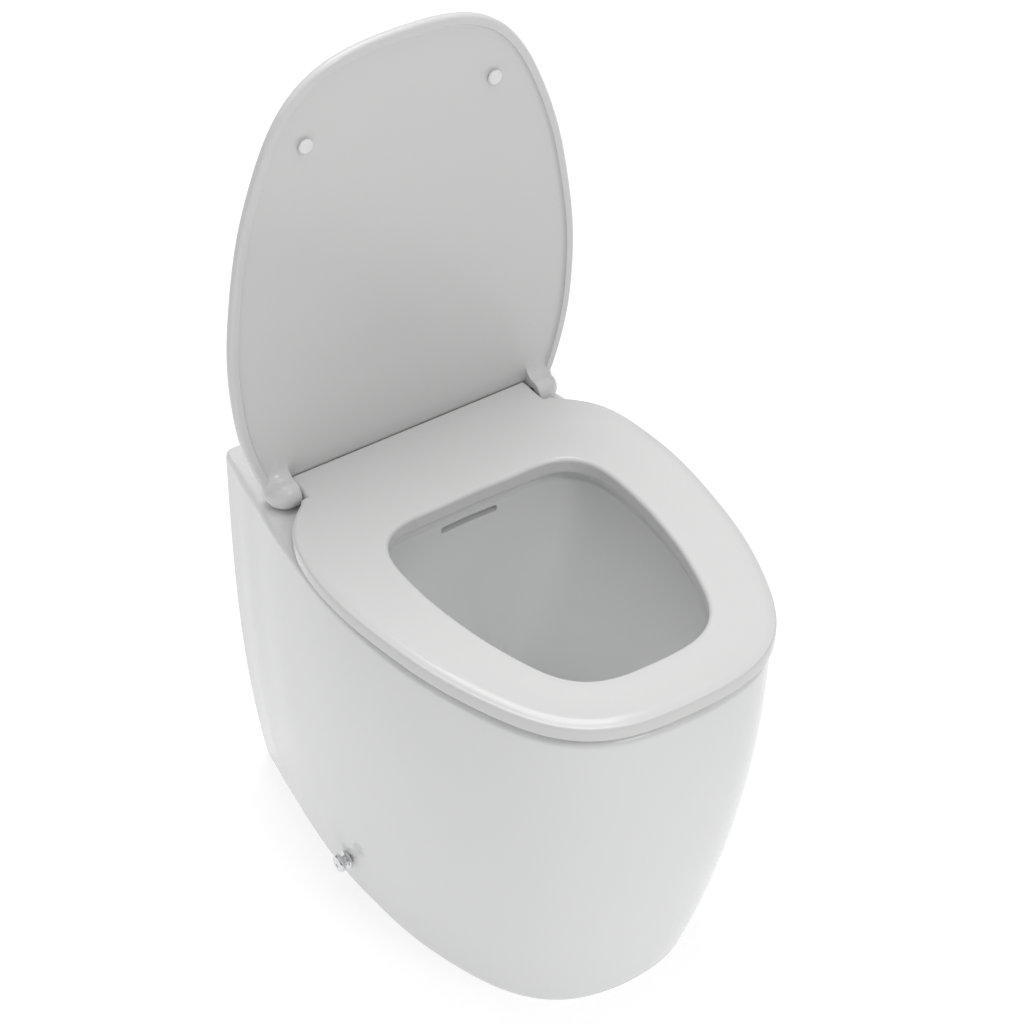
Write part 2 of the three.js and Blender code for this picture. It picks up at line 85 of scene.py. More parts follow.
def natural(p, n):
    """Cubic spline through 2-D points by chord length, natural ends, n samples of equal arc length."""
    p = np.asarray(p, float)
    t = np.r_[0, np.cumsum(np.hypot(*np.diff(p, axis=0).T))]
    m = len(p)
    h = np.diff(t)
    a = np.zeros((m, m))
    b = np.zeros((m, 2))
    a[0, 0] = a[-1, -1] = 1
    for i in range(1, m - 1):
        a[i, i - 1], a[i, i], a[i, i + 1] = h[i - 1], 2 * (h[i - 1] + h[i]), h[i]
        b[i] = 6 * ((p[i + 1] - p[i]) / h[i] - (p[i] - p[i - 1]) / h[i - 1])
    c = np.linalg.solve(a, b)
    u = np.linspace(0, t[-1], 3000)
    k = np.clip(np.searchsorted(t, u, side="right") - 1, 0, m - 2)
    w = (u - t[k])[:, None]
    hk = h[k][:, None]
    q = (p[k] + w * ((p[k + 1] - p[k]) / hk - hk * (2 * c[k] + c[k + 1]) / 6)
         + w ** 2 * c[k] / 2 + w ** 3 * (c[k + 1] - c[k]) / (6 * hk))
    return resample(q, n)


def smooth_side(side, n, degree=25):
    """A side curve from the front centre, fitted with odd (x) and even (y) Chebyshev terms so it has no ripples."""
    full = [(-x, y) for x, y in side[1:][::-1]] + list(side)
    q = natural(full, 2001)[1000:]
    s = np.linspace(0, 1, len(q))
    def fit(v, ks):
        basis = np.stack([np.cos(k * np.arccos(np.clip(s, -1, 1))) for k in ks], 1)
        co, *_ = np.linalg.lstsq(basis, v, rcond=None)
        return basis @ co
    x = fit(q[:, 0], range(1, degree + 1, 2))
    y = fit(q[:, 1], range(0, degree + 1, 2))
    return resample(np.stack([x, y], 1), n)


def smooth_loop(half, n, harmonics=11):
    """A closed outline through mirrored half points, low harmonics only, starting at the front centre."""
    full = list(half) + [(-x, y) for x, y in half[1:-1][::-1]]
    ext = full[-6:] + full + full[:7]
    p = np.asarray(ext, float)
    seg = np.hypot(*np.diff(p, axis=0).T)
    dense = natural(ext, 6000)
    d0 = np.argmin(np.hypot(dense[:, 0] - full[0][0], dense[:, 1] - full[0][1])[:3000])
    tail = 3000 + np.argmin(np.hypot(dense[3000:, 0] - full[0][0], dense[3000:, 1] - full[0][1]))
    q = resample(dense[d0:tail + 1], 1441)[:-1]
    k = np.arange(len(q)) * 2 * math.pi / len(q)
    x = sum((q[:, 0] @ np.sin(j * k)) * 2 / len(q) * np.sin(j * k) for j in range(1, harmonics + 1))
    y = q[:, 1].mean() + sum((q[:, 1] @ np.cos(j * k)) * 2 / len(q) * np.cos(j * k) for j in range(1, harmonics + 1))
    return resample(np.stack([x, y], 1), n, closed=True)


def mirror(half):
    """Closed outline from half points that start and end on x = 0."""
    half = np.asarray(half, float)
    return np.vstack([half, half[1:-1][::-1] * [-1, 1]])


def inset(p, d):
    """Moves a closed outline inwards; d is a number or one for each point."""
    t = np.roll(p, -1, 0) - np.roll(p, 1, 0)
    t /= np.hypot(t[:, 0], t[:, 1])[:, None] + 1e-12
    d = np.broadcast_to(np.asarray(d, float), (len(p),))[:, None]
    return p + np.stack([-t[:, 1], t[:, 0]], 1) * d


def ring(p, z):
    z = np.broadcast_to(np.asarray(z, float), (len(p),))
    return np.column_stack([p, z])


def arc(r0, z0, r1, z1, n, start="vertical"):
    """Quarter of an ellipse as (inset, z) pairs between two ends, leaving the first end vertically."""
    out = []
    for i in range(n + 1):
        a = i / n * math.pi / 2
        if start == "vertical":
            out.append((r0 + (r1 - r0) * (1 - math.cos(a)), z0 + (z1 - z0) * math.sin(a)))
        else:
            out.append((r0 + (r1 - r0) * math.sin(a), z0 + (z1 - z0) * (1 - math.cos(a))))
    return out


# ------------------------------------------------------------------ mesh tools
class Build:
    def __init__(self):
        self.v, self.f, self.n = [], [], 0

    def add(self, v, f):
        self.v.append(np.asarray(v, float))
        self.f += [tuple(i + self.n for i in face) for face in f]
        self.n += len(v)
        return self

    def sheet(self, rings, closed=False, cap_first=False, cap_last=False, flip=False):
        rings = [np.asarray(r, float) for r in rings]
        n, m = len(rings[0]), len(rings)
        f = []
        for j in range(m if closed else m - 1):
            a, b = j * n, ((j + 1) % m) * n
            for i in range(n):
                k = (i + 1) % n
                f.append((a + i, a + k, b + k, b + i))
        v = np.vstack(rings)
        if cap_first:
            f.append(tuple(range(n - 1, -1, -1)))
        if cap_last:
            f.append(tuple((m - 1) * n + i for i in range(n)))
        if flip:
            f = [q[::-1] for q in f]
        return self.add(v, f)

    def mesh(self, name):
        v = np.vstack(self.v)
        me = bpy.data.meshes.new(name)
        me.from_pydata([tuple(q) for q in to_row(v)], [], self.f)
        me.update()
        bm = bmesh.new()
        bm.from_mesh(me)
        bmesh.ops.remove_doubles(bm, verts=bm.verts, dist=1e-6)
        bmesh.ops.recalc_face_normals(bm, faces=bm.faces)
        bm.to_mesh(me)
        bm.free()
        return me


def to_row(v):
    v = np.asarray(v, float) * 0.001
    return v + np.array([0, SHIFT_Y * 0.001, 0])


def raised(v, a=LID_OPEN):
    """Turns points of the closed cover about the hinge line to the open position."""
    v = np.asarray(v, float).copy()
    y, z = v[:, 1] - HY, v[:, 2] - HZ
    c, s = math.cos(a), math.sin(a)
    v[:, 1], v[:, 2] = HY + y * c + z * s, HZ - y * s + z * c
    return v


def obj_of(me, name):
    o = bpy.data.objects.new(name, me)
    bpy.context.scene.collection.objects.link(o)
    return o


def boolean(base, tool_meshes, op):
    """Applies booleans with one mesh after another and returns a new mesh."""
    for k, tm in enumerate(tool_meshes):
        a = obj_of(base, "tmp_a")
        b = obj_of(tm, "tmp_b")
        m = a.modifiers.new("b", "BOOLEAN")
        m.operation, m.object = op, b
        try:
            m.solver = "MANIFOLD"
        except TypeError:
            m.solver = "EXACT"
        dg = bpy.context.evaluated_depsgraph_get()
        out = bpy.data.meshes.new_from_object(a.evaluated_get(dg))
        bpy.data.objects.remove(a)
        bpy.data.objects.remove(b)
        base = out
    return base


def keep_main(me):
    """Drops slivers that a boolean may leave beside the main body."""
    bm = bmesh.new()
    bm.from_mesh(me)
    seen, parts = set(), []
    for v in bm.verts:
        if v in seen:
            continue
        stack, part = [v], []
        seen.add(v)
        while stack:
            q = stack.pop()
            part.append(q)
            for e in q.link_edges:
                w = e.other_vert(q)
                if w not in seen:
                    seen.add(w)
                    stack.append(w)
        parts.append(part)
    big = max(len(q) for q in parts)
    bmesh.ops.delete(bm, geom=[v for q in parts if len(q) < big * 0.05 for v in q], context="VERTS")
    bm.to_mesh(me)
    bm.free()
    return me


def lathe_mesh(profile, axis, at, segs=64, name="lathe", loop=False, turn=None):
    """profile is [(radius, along)], from axis to axis or a closed loop."""
    rings = []
    first = last = None
    pts = list(profile)
    for r, h in pts:
        ring_pts = []
        for i in range(segs):
            t = 2 * math.pi * i / segs
            c, s = r * math.cos(t), r * math.sin(t)
            ring_pts.append({"x": (h, c, s), "y": (c, h, -s), "z": (c, s, h)}[axis])
        rings.append(np.array(ring_pts) + np.array(at, float))
    b = Build()
    if loop:
        b.sheet(rings, closed=True)
    else:
        b.sheet(rings)
    if turn is not None:
        b.v = [turn(v) for v in b.v]
    return b.mesh(name)


def rounded(profile, r=0.5, n=3, loop=False):
    """Rounds the corners of a lathe profile."""
    p = [np.array(q, float) for q in profile]
    out = []
    m = len(p)
    for i in range(m):
        if not loop and i in (0, m - 1):
            out.append(tuple(p[i]))
            continue
        a, b, c = p[(i - 1) % m], p[i], p[(i + 1) % m]
        u, w = a - b, c - b
        lu, lw = np.linalg.norm(u), np.linalg.norm(w)
        k = min(r, lu * 0.45, lw * 0.45)
        s, e = b + u / lu * k, b + w / lw * k
        for j in range(n + 1):
            t = j / n
            out.append(tuple((1 - t) ** 2 * s + 2 * t * (1 - t) * b + t ** 2 * e))
    return out


def box_mesh(x0, x1, y0, y1, z0, z1, bevel=0.0, turn=None, name="box"):
    bm = bmesh.new()
    bmesh.ops.create_cube(bm, size=1)
    for v in bm.verts:
        v.co = Vector(((x0 + x1) / 2 + v.co.x * (x1 - x0), (y0 + y1) / 2 + v.co.y * (y1 - y0), (z0 + z1) / 2 + v.co.z * (z1 - z0)))
    if bevel:
        bmesh.ops.bevel(bm, geom=bm.edges[:], offset=bevel, segments=3, affect="EDGES", profile=0.5)
    bmesh.ops.triangulate(bm, faces=[f for f in bm.faces if len(f.verts) > 4])
    v = np.array([tuple(q.co) for q in bm.verts])
    f = [tuple(q.index for q in face.verts) for face in bm.faces]
    bm.free()
    b = Build()
    b.add(v, f)
    if turn is not None:
        b.v = [turn(q) for q in b.v]
    return b.mesh(name)


def piece(me, name, body, mat, replaces=(), angle=35):
    for p in me.polygons:
        p.use_smooth = True
    me.set_sharp_from_angle(angle=math.radians(angle))
    me.materials.clear()
    me.materials.append(mat)
    o = obj_of(me, name)
    o.data.name = name
    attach(o, body)
    if replaces:
        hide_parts(*replaces)
    return o


# ------------------------------------------------------------------ materials
def material(name, color, rough, metal=0.0, **kw):
    m = bpy.data.materials.new(name)
    m.use_nodes = True
    nt = m.node_tree
    b = next(n for n in nt.nodes if n.type == "BSDF_PRINCIPLED")
    b.inputs["Metallic"].default_value = metal
    for key, socket in (("coat", "Coat Weight"), ("coat_rough", "Coat Roughness"), ("ior", "IOR"),
                        ("sss", "Subsurface Weight"), ("trans", "Transmission Weight"), ("spec", "Specular IOR Level")):
        if key in kw:
            b.inputs[socket].default_value = kw[key]
    if "sss_radius" in kw:
        b.inputs["Subsurface Radius"].default_value = kw["sss_radius"]
        b.inputs["Subsurface Scale"].default_value = 1.0
    tc = nt.nodes.new("ShaderNodeTexCoord")
    # Broad, faint colour drift.
    mp = nt.nodes.new("ShaderNodeMapping")
    mp.inputs["Scale"].default_value = kw.get("stretch", (1, 1, 1))
    nt.links.new(tc.outputs["Object"], mp.inputs["Vector"])
    n1 = nt.nodes.new("ShaderNodeTexNoise")
    n1.inputs["Scale"].default_value = kw.get("drift_scale", 6)
    n1.inputs["Detail"].default_value = 3
    nt.links.new(mp.outputs["Vector"], n1.inputs["Vector"])
    cr = nt.nodes.new("ShaderNodeValToRGB")
    d = kw.get("drift", 0.012)
    cr.color_ramp.elements[0].position, cr.color_ramp.elements[1].position = 0.3, 0.7
    cr.color_ramp.elements[0].color = [max(0, c - d) for c in color] + [1]
    cr.color_ramp.elements[1].color = [min(1, c + d) for c in color] + [1]
    nt.links.new(n1.outputs["Fac"], cr.inputs["Fac"])
    nt.links.new(cr.outputs["Color"], b.inputs["Base Color"])
    # Fine roughness variation.
    n2 = nt.nodes.new("ShaderNodeTexNoise")
    n2.inputs["Scale"].default_value = kw.get("rough_scale", 60)
    n2.inputs["Detail"].default_value = 4
    nt.links.new(mp.outputs["Vector"], n2.inputs["Vector"])
    mr = nt.nodes.new("ShaderNodeMapRange")
    mr.inputs["From Min"].default_value, mr.inputs["From Max"].default_value = 0.3, 0.7
    dr = kw.get("rough_var", 0.03)
    mr.inputs["To Min"].default_value, mr.inputs["To Max"].default_value = max(0.01, rough - dr), rough + dr
    nt.links.new(n2.outputs["Fac"], mr.inputs["Value"])
    nt.links.new(mr.outputs["Result"], b.inputs["Roughness"])
    # Surface texture: long soft ripple and a fine grain.
    n3 = nt.nodes.new("ShaderNodeTexNoise")
    n3.inputs["Scale"].default_value = kw.get("grain_scale", 220)
    n3.inputs["Detail"].default_value = kw.get("grain_detail", 2)
    nt.links.new(mp.outputs["Vector"], n3.inputs["Vector"])
    bp = nt.nodes.new("ShaderNodeBump")
    bp.inputs["Strength"].default_value = kw.get("grain", 0.05)
    bp.inputs["Distance"].default_value = kw.get("grain_depth", 0.0003)
    nt.links.new(n3.outputs["Fac"], bp.inputs["Height"])
    if kw.get("ripple"):
        n4 = nt.nodes.new("ShaderNodeTexNoise")
        n4.inputs["Scale"].default_value = kw.get("ripple_scale", 14)
        n4.inputs["Detail"].default_value = 1
        nt.links.new(tc.outputs["Object"], n4.inputs["Vector"])
        bp2 = nt.nodes.new("ShaderNodeBump")
        bp2.inputs["Strength"].default_value = kw["ripple"]
        bp2.inputs["Distance"].default_value = 0.002
        nt.links.new(n4.outputs["Fac"], bp2.inputs["Height"])
        nt.links.new(bp2.outputs["Normal"], bp.inputs["Normal"])
    nt.links.new(bp.outputs["Normal"], b.inputs["Normal"])
    return m


CHINA = material("glazed_china", (0.75, 0.752, 0.755), 0.09, spec=0.3, drift=0.006, drift_scale=5,
                 rough_scale=35, rough_var=0.03, grain=0.05, grain_scale=160, ripple=0.05, ripple_scale=9)
PLASTIC = material("gloss_duroplast", (0.67, 0.67, 0.668), 0.17, spec=0.4, drift=0.004, drift_scale=7,
                   rough_scale=70, rough_var=0.03, grain=0.04, grain_scale=420)
BUFFER = material("buffer_plastic", (0.82, 0.82, 0.82), 0.42, sss=0.2, sss_radius=(0.004, 0.004, 0.004), drift=0.008,
                  drift_scale=60, rough_scale=400, rough_var=0.06, grain=0.12, grain_scale=900)
STEEL = material("turned_steel", (0.56, 0.565, 0.575), 0.3, metal=1.0, stretch=(1, 1, 14), drift=0.03, drift_scale=40,
                 rough_scale=260, rough_var=0.1, grain=0.2, grain_scale=600)
CHROME = material("polished_chrome", (0.72, 0.725, 0.735), 0.06, metal=1.0, drift=0.01, drift_scale=20, rough_scale=300,
                  rough_var=0.03, grain=0.02, grain_scale=500)
GREY = material("moulded_grey_plastic", (0.27, 0.275, 0.285), 0.5, drift=0.015, drift_scale=30, rough_scale=300,
                rough_var=0.08, grain=0.25, grain_scale=900)
WHITE = material("moulded_white_plastic", (0.72, 0.72, 0.725), 0.4, drift=0.012, drift_scale=30, rough_scale=300,
                 rough_var=0.06, grain=0.18, grain_scale=800)
RUBBER = material("black_rubber", (0.035, 0.035, 0.038), 0.7, drift=0.008, drift_scale=50, rough_scale=240,
                  rough_var=0.1, grain=0.3, grain_scale=700)

# ------------------------------------------------------------------ pan
HALF = 112  # points from the front centre to the rear centre
SIDE_N, CORNER_N = 88, 10


def pan_plan(side):
    s = smooth_side(side, SIDE_N)
    w = side[-1][0]
    s[-1] = (w, -8)
    r = 8.0
    corner = [(w - r + r * math.cos(a), -r + r * math.sin(a)) for a in np.linspace(0, math.pi / 2, CORNER_N + 1)[1:]]
    back = [(x, 0.0) for x in np.linspace(w - r, 0, HALF - SIDE_N - CORNER_N + 1)[1:]]
    return mirror(np.vstack([s, corner, back]))


PLAN_TOP, PLAN_FLOOR = pan_plan(PAN_TOP_SIDE), pan_plan(PAN_FLOOR_SIDE)
N = len(PLAN_TOP)
_k = np.minimum(np.arange(N), N - np.arange(N)).astype(float)
_k = np.where(_k < SIDE_N, _k / (SIDE_N - 1) * 0.72, 0.72 + (_k - SIDE_N + 1) * 0.02)
_w = np.clip((_k - 0.4) / 0.4, 0, 1)
_w = _w * _w * (3 - 2 * _w)
TAPER = FRONT_TAPER + (REAR_TAPER - FRONT_TAPER) * _w


def skirt(z):
    u = 1 - min(max(z, 0), PAN_HEIGHT) / PAN_HEIGHT
    s = (u ** TAPER)[:, None]
    return PLAN_TOP * (1 - s) + PLAN_FLOOR * s


HOLE_LOOP = smooth_loop(HOLE, N)


def smooth_levels(levels, per):
    """Cubic interpolation between listed bowl levels, holding their order."""
    a = np.array(levels, float)
    t = np.arange(len(a), dtype=float)
    u = np.linspace(0, len(a) - 1, (len(a) - 1) * per + 1)
    out = []
    for c in range(a.shape[1]):
        v = a[:, c]
        d = np.gradient(v)
        # Limit the slopes so that no level overshoots its neighbours.
        for i in range(len(v)):
            l = v[i] - v[i - 1] if i else None
            r = v[i + 1] - v[i] if i < len(v) - 1 else None
            if l is not None and r is not None:
                d[i] = 0 if l * r <= 0 else math.copysign(min(abs(d[i]), 3 * abs(l), 3 * abs(r)), l)
        k = np.clip(np.floor(u).astype(int), 0, len(a) - 2)
        w = u - k
        out.append((2 * w ** 3 - 3 * w ** 2 + 1) * v[k] + (w ** 3 - 2 * w ** 2 + w) * d[k]
                   + (-2 * w ** 3 + 3 * w ** 2) * v[k + 1] + (w ** 3 - w ** 2) * d[k + 1])
    return np.stack(out, 1)


def bowl_ring(level, grow=0.0, z=None):
    zz, hw, yf, yr, e = level
    yc, hl = (yf + yr) / 2, (yr - yf) / 2 + grow
    a, b = HOLE_LOOP[:, 0] / 117.0, (HOLE_LOOP[:, 1] + 345.65) / 140.35
    l = np.hypot(a, b)
    return np.column_stack([(a * (1 - e) + a / l * e) * (hw + grow), yc + (b * (1 - e) + b / l * e) * hl,
                            np.full(N, zz if z is None else z)])


rim = (394, 127.5, -497, -192.5, 0)
skin = [ring(inset(skirt(0), 1.6), 0), ring(inset(skirt(0.5), 0.8), 0.5), ring(skirt(1.8), 1.8)]
RIM = 1.0 + 1.1 * (1 - np.clip((_k - 0.25) / 0.45, 0, 1))
RIM = RIM * (1 - 0.55 * np.clip((skirt(400)[:, 1] + 45) / 25.0, 0, 1))  # tighter round the two rear corners
skin += [ring(skirt(z), z) for z in list(np.linspace(6, 382, 48)) + [387]]
skin += [ring(inset(skirt(z), d * RIM), 400 - (400 - z) * (0.8 + 0.2 * RIM) if z > 394 else z) for d, z in [(0.0, 390.0)]]
skin += [ring(inset(skirt(min(z, 400)), d * RIM), z) for d, z in arc(0, 391.8, 6.4, 400, 12)]
skin += [ring(inset(skirt(400), d * RIM), 400) for d in (7.2, 9)]
skin += [bowl_ring(rim, g, 400) for g in (10, 7.4)]
skin += [bowl_ring(rim, d, z) for d, z in arc(6.2, 400, 0, 394.2, 8, start="horizontal")]
lv = smooth_levels(BOWL[::-1], 4)
skin += [bowl_ring(l) for l in lv[1:]]
skin += [np.column_stack([lv[-1][1] * 0.5 * np.array(HOLE_LOOP[:, 0]) / 117, -274 + 11 * (HOLE_LOOP[:, 1] + 345.65) / 140.35, np.full(N, 95.0)])]
inner = [ring(inset(skirt(0), WALL), 0)] + [ring(inset(skirt(z), WALL), z) for z in list(np.linspace(4, 376, 24))]
inner += [ring(inset(skirt(z), WALL + d), z) for d, z in arc(0, 376, 10, 386, 4)]
shell = [(390, 128, -497, -193, 0), (372, 127, -496, -194, 0)] + BOWL[8:0:-1]
sl = smooth_levels(shell, 3)
inner += [bowl_ring(l, BOWL_WALL + 12, 386) for l in sl[:1]]
inner += [bowl_ring(l, BOWL_WALL, l[0] - (0 if l[0] > 360 else 8 * (360 - l[0]) / 20 if l[0] > 340 else 8)) for l in sl[1:]]
inner += [bowl_ring((84, 16, -292, -256, 1), 6)]
pan = Build()
pan.sheet([skin[0]] + inner, flip=True, cap_last=True)
pan.sheet(skin, cap_last=True)
pan_me = pan.mesh("pan_base")


def path_tube(points, r, segs=40, name="tube"):
    q = natural(points, 60)
    t = np.gradient(q, axis=0)
    t /= np.hypot(t[:, 0], t[:, 1])[:, None]
    rings = []
    for (y, z), (ty, tz) in zip(q, t):
        a = np.linspace(0, 2 * math.pi, segs, endpoint=False)
        rings.append(np.column_stack([r * np.cos(a), y - tz * r * np.sin(a), z + ty * r * np.sin(a)]))
    b = Build()
    b.sheet(rings, cap_first=True, cap_last=True)
    return b.mesh(name)


TRAP = [(-262, 128), (-226, 112), (-186, 116), (-156, 146), (-136, 180), (-110, 210), (-80, 214), (-50, 198), (-22, 187)]
rod = lambda r, a, b, axis, at, segs=64: lathe_mesh([(0, a), (r, a), (r, b), (0, b)], axis, at, segs)
pan_me = boolean(pan_me, [
    path_tube(TRAP, 35), lathe_mesh(rounded([(0, -190), (31, -190), (31, -6), (0, -6)], 0.1), "y", (0, 0, 335), 64),
    box_mesh(-44, 44, -192, -158, 317, 390, bevel=3),
    lathe_mesh(rounded([(0, -62), (51, -62), (51, -16), (0, -16)], 1.5), "y", (0, 0, 186), 96)], "UNION")
cuts = [box_mesh(-100, 100, -40, 8, -6, 300, bevel=3), path_tube(TRAP, 27), rod(20, -180, 8, "y", (0, 0, 335)),
        box_mesh(-34, 34, -185, -168, 327, 385, bevel=2), box_mesh(-31, 31, -205, -178, 377.6, 384.4, bevel=2.6),
        rod(43, -55, 8, "y", (0, 0, 186), 96)]
for s in (1, -1):
    cuts.append(rod(7, 370, 410, "z", (s * HINGE_X, HY, 0), 32))
    cuts.append(rod(5, min(s * 118, s * 175), max(s * 118, s * 175), "x", (0, -212, 40), 32))
pan_me = boolean(pan_me, cuts, "DIFFERENCE")
piece(keep_main(pan_me), "china_pan", "pan", CHINA, ["pan"], angle=32)

# ------------------------------------------------------------------ seat
def fillet(points, radii, n=5):
    """Open polyline with rounded inner corners."""
    p = [np.array(q, float) for q in points]
    out = [tuple(p[0])]
    for i in range(1, len(p) - 1):
        r = radii[i]
        if not r:
            out.append(tuple(p[i]))
            continue
        u, w = p[i - 1] - p[i], p[i + 1] - p[i]
        lu, lw = np.linalg.norm(u), np.linalg.norm(w)
        k = min(r, lu * 0.48, lw * 0.48)
        s, e = p[i] + u / lu * k, p[i] + w / lw * k
        for j in range(n + 1):
            t = j / n
            out.append(tuple((1 - t) ** 2 * s + 2 * t * (1 - t) * p[i] + t ** 2 * e))
    out.append(tuple(p[-1]))
    return out


side = smooth_side(SEAT_SIDE + [(134, -125.5)], 120)
cut = np.argmax(side[:, 1] > -129.0)
side = side[:cut]
tail = fillet([side[-1], (137.4, -125.9), (130.4, -125.7), (130.4, -93.0), (0, -93.0)], [0, 2.6, 2.6, 4.0, 0], n=7)
tail = np.array(tail[1:])
n_side = len(side)
seg = resample(tail[-2:], 50)[1:]
tail = np.vstack([tail[:-1], seg])
seat_half = np.vstack([side, tail])
SEAT_PLAN = mirror(seat_half)
n_seat = len(SEAT_PLAN)
hole_seat = smooth_loop(HOLE, n_seat)
# Line the hole's points up with the outer ones by angle so the ring's faces stay even.
ang = lambda p: np.unwrap(np.arctan2(p[:, 0], -(p[:, 1] + 335)))
a_out = ang(SEAT_PLAN)
dense_hole = smooth_loop(HOLE, 1440)
a_h = ang(dense_hole)
a_h2 = np.r_[a_h - 2 * math.pi, a_h, a_h + 2 * math.pi]
dh = np.vstack([dense_hole] * 3)
hole_seat = np.stack([np.interp(a_out, a_h2, dh[:, 0]), np.interp(a_out, a_h2, dh[:, 1])], 1)
rear = np.clip((SEAT_PLAN[:, 1] + 100) / 6.0, 0, 1)
nose = lambda z: 13 - math.sqrt(max(0, 169 - (z - HZ) ** 2))


def seat_out(d, z):
    dz = nose(min(z, 424))
    dd = d * (1 - rear) + np.maximum(dz, d * (0.35 if z > 415 else 1)) * rear
    return ring(inset(SEAT_PLAN, dd), z)


rings = [seat_out(d, z) for d, z in reversed(arc(0, 407.0, 1.4, SEAT_BOTTOM, 4))]
rings += [seat_out(0, z) for z in (409, 411, 413, 414.4)]
# Along the sides and the front the sitting face falls away to a thinner, crisper edge.
soft = np.clip((-170 - SEAT_PLAN[:, 1]) / 60.0, 0, 1)
soft = soft * soft * (3 - 2 * soft)
FALL = 2.6
for (d0, z0), (d1, z1) in zip(arc(0, 418.4, 4.2, SEAT_TOP, 9), arc(0, 415.6, 2.4, SEAT_TOP - FALL, 9)):
    hard = seat_out(d0 * (1 - soft) + d1 * soft, z0)
    hard[:, 2] = z0 * (1 - soft) + z1 * soft
    rings.append(hard)
TOP_SAG = 0.7  # the sitting face dips a little between its rounded edges
edge_o, edge_i = inset(SEAT_PLAN, 4.2 * (1 - soft) + 2.4 * soft), inset(hole_seat, -4.6)
for t in (0.025, 0.05, 0.075, 0.1, 0.125, 0.15, 0.175, 0.2, 0.25, 0.33, 0.42, 0.5, 0.58, 0.67, 0.75, 0.84, 0.92):
    p = edge_o * (1 - t) + edge_i * t
    fall = FALL * soft * max(0.0, 1 - t / 0.2) ** 2
    rings.append(ring(p, SEAT_TOP - TOP_SAG * math.sin(math.pi * t) ** 2 - fall))
rings += [ring(inset(hole_seat, -d), z) for d, z in reversed(arc(0, 418.0, 4.6, SEAT_TOP, 8))]
rings += [ring(hole_seat, z) for z in (416, 413, 410)]
rings += [ring(inset(hole_seat, -d), z) for d, z in arc(0, 407.2, 1.4, SEAT_BOTTOM, 4)]
for t in np.linspace(0, 1, 6)[1:-1]:
    rings.append(ring(inset(hole_seat, -1.4) * (1 - t) + inset(SEAT_PLAN, 1.4) * t, SEAT_BOTTOM))
seat = Build()
seat.sheet(rings, closed=True)
seat_me = seat.mesh("seat_base")
cuts = []
for s in (1, -1):
    o = lambda a, b: (min(s * a, s * b), max(s * a, s * b))
    cuts.append(box_mesh(*o(71.5, 83.5), HY - 6, -60, 390, HZ + 5.2, bevel=0.8))
    cuts.append(rod(2.7, *o(65.5, 92), "x", (0, HY, HZ), 32))
    cuts.append(rod(5.25, *o(88, 140), "x", (0, HY, HZ), 40))
cuts.append(box_mesh(-131, 131, -132, HY - 7, 390, 406.7))
seat_me = boolean(seat_me, cuts, "DIFFERENCE")
piece(keep_main(seat_me), "seat_ring", "seat", PLASTIC, ["seat"], angle=34)

# ------------------------------------------------------------------ cover
def shrink(p, t, c=(0.0, -320.0)):
    return p * (1 - t) + np.array(c) * t


lside = smooth_side(LID_SIDE + [(134.5, -91)], 150)
lside = lside[:np.argmax(lside[:, 1] > -94.6)]
ltail = np.array(fillet([lside[-1], (144.0, -92.5), (0, -92.5)], [0, 6.0, 0], n=6)[1:])
ltail = np.vstack([ltail[:-1], resample(ltail[-2:], 60)[1:]])
LID_PLAN = mirror(np.vstack([lside, ltail]))
n_lid = len(LID_PLAN)
rings = [ring(inset(LID_PLAN, d), z) for d, z in reversed(arc(0, 428.2, 4.0, LID_BOTTOM, 8))]
# The outer face rolls over in a wide soft edge round the sides and the front, tighter by the hinge.
roll = np.clip((-130 - LID_PLAN[:, 1]) / 70.0, 0, 1)
roll = roll * roll * (3 - 2 * roll)
tight = 1 - 0.93 * np.clip((LID_PLAN[:, 1] + 122) / 20.0, 0, 1)
rings += [ring(LID_PLAN, a * (1 - roll) + b * roll) for a, b in ((429.4, 428.8), (430.2, 429.2))]
for (d0, z0), (d1, z1) in zip(arc(0, 431, 8.4, 436.3, 14), arc(0, 429.6, 15.0, 436.3, 14)):
    rings.append(ring(inset(LID_PLAN, d0 * tight * (1 - roll) + d1 * roll), z0 * (1 - roll) + z1 * roll))
top_q = inset(LID_PLAN, 8.4 * tight * (1 - roll) + 15.0 * roll)


def crown(p, base, rise):
    """Ring at a height that swells gently towards the middle of the cover, whatever the ring's shape."""
    r2 = (p[:, 0] / 172.0) ** 2 + ((p[:, 1] + 315) / 212.0) ** 2
    return ring(p, base + rise * np.clip(1 - r2, 0, 1) ** 2)


for t in (0.02, 0.06, 0.12, 0.2, 0.3, 0.42, 0.55, 0.68, 0.8, 0.9, 0.97):
    rings.append(crown(shrink(top_q, t), 436.3, 0.7))
plate = Build()
plate.sheet(rings, cap_first=True, cap_last=True)
lid_me = plate.mesh("lid_base")

# Ears: a knuckle round the hinge line that flows up into the plate and out to the edge.
EAR_R = 13.5
EAR_IN, EAR_OUT = 132.0, 160.0


def ear_section(scale, lift, x):
    """Closed section across the hinge line at x; scale shrinks the knuckle, lift draws it up into the plate."""
    r = EAR_R * scale
    cy, cz = HY, HZ + lift
    pts = []
    top = 430.0
    # Hollow curve from the plate's underside down to the knuckle's front.
    r2 = 11.0
    x0 = -(r + r2 * 0.9)
    for k in range(9):
        u = k / 8
        pts.append((cy + x0 * (1 - u) ** 2 + 2 * u * (1 - u) * (-r - 0.2) + u * u * (-r), (LID_BOTTOM + 3.6) * (1 - u) ** 2 + 2 * u * (1 - u) * (LID_BOTTOM - 1.0) + u * u * (cz + 1)))
    for k in range(1, 25):
        t = math.pi * k / 24
        pts.append((cy - r * math.cos(t), cz - r * math.sin(t)))
    pts += [(cy + r, top), (cy + x0, top)]
    return np.array([(x, p[0], p[1]) for p in pts])


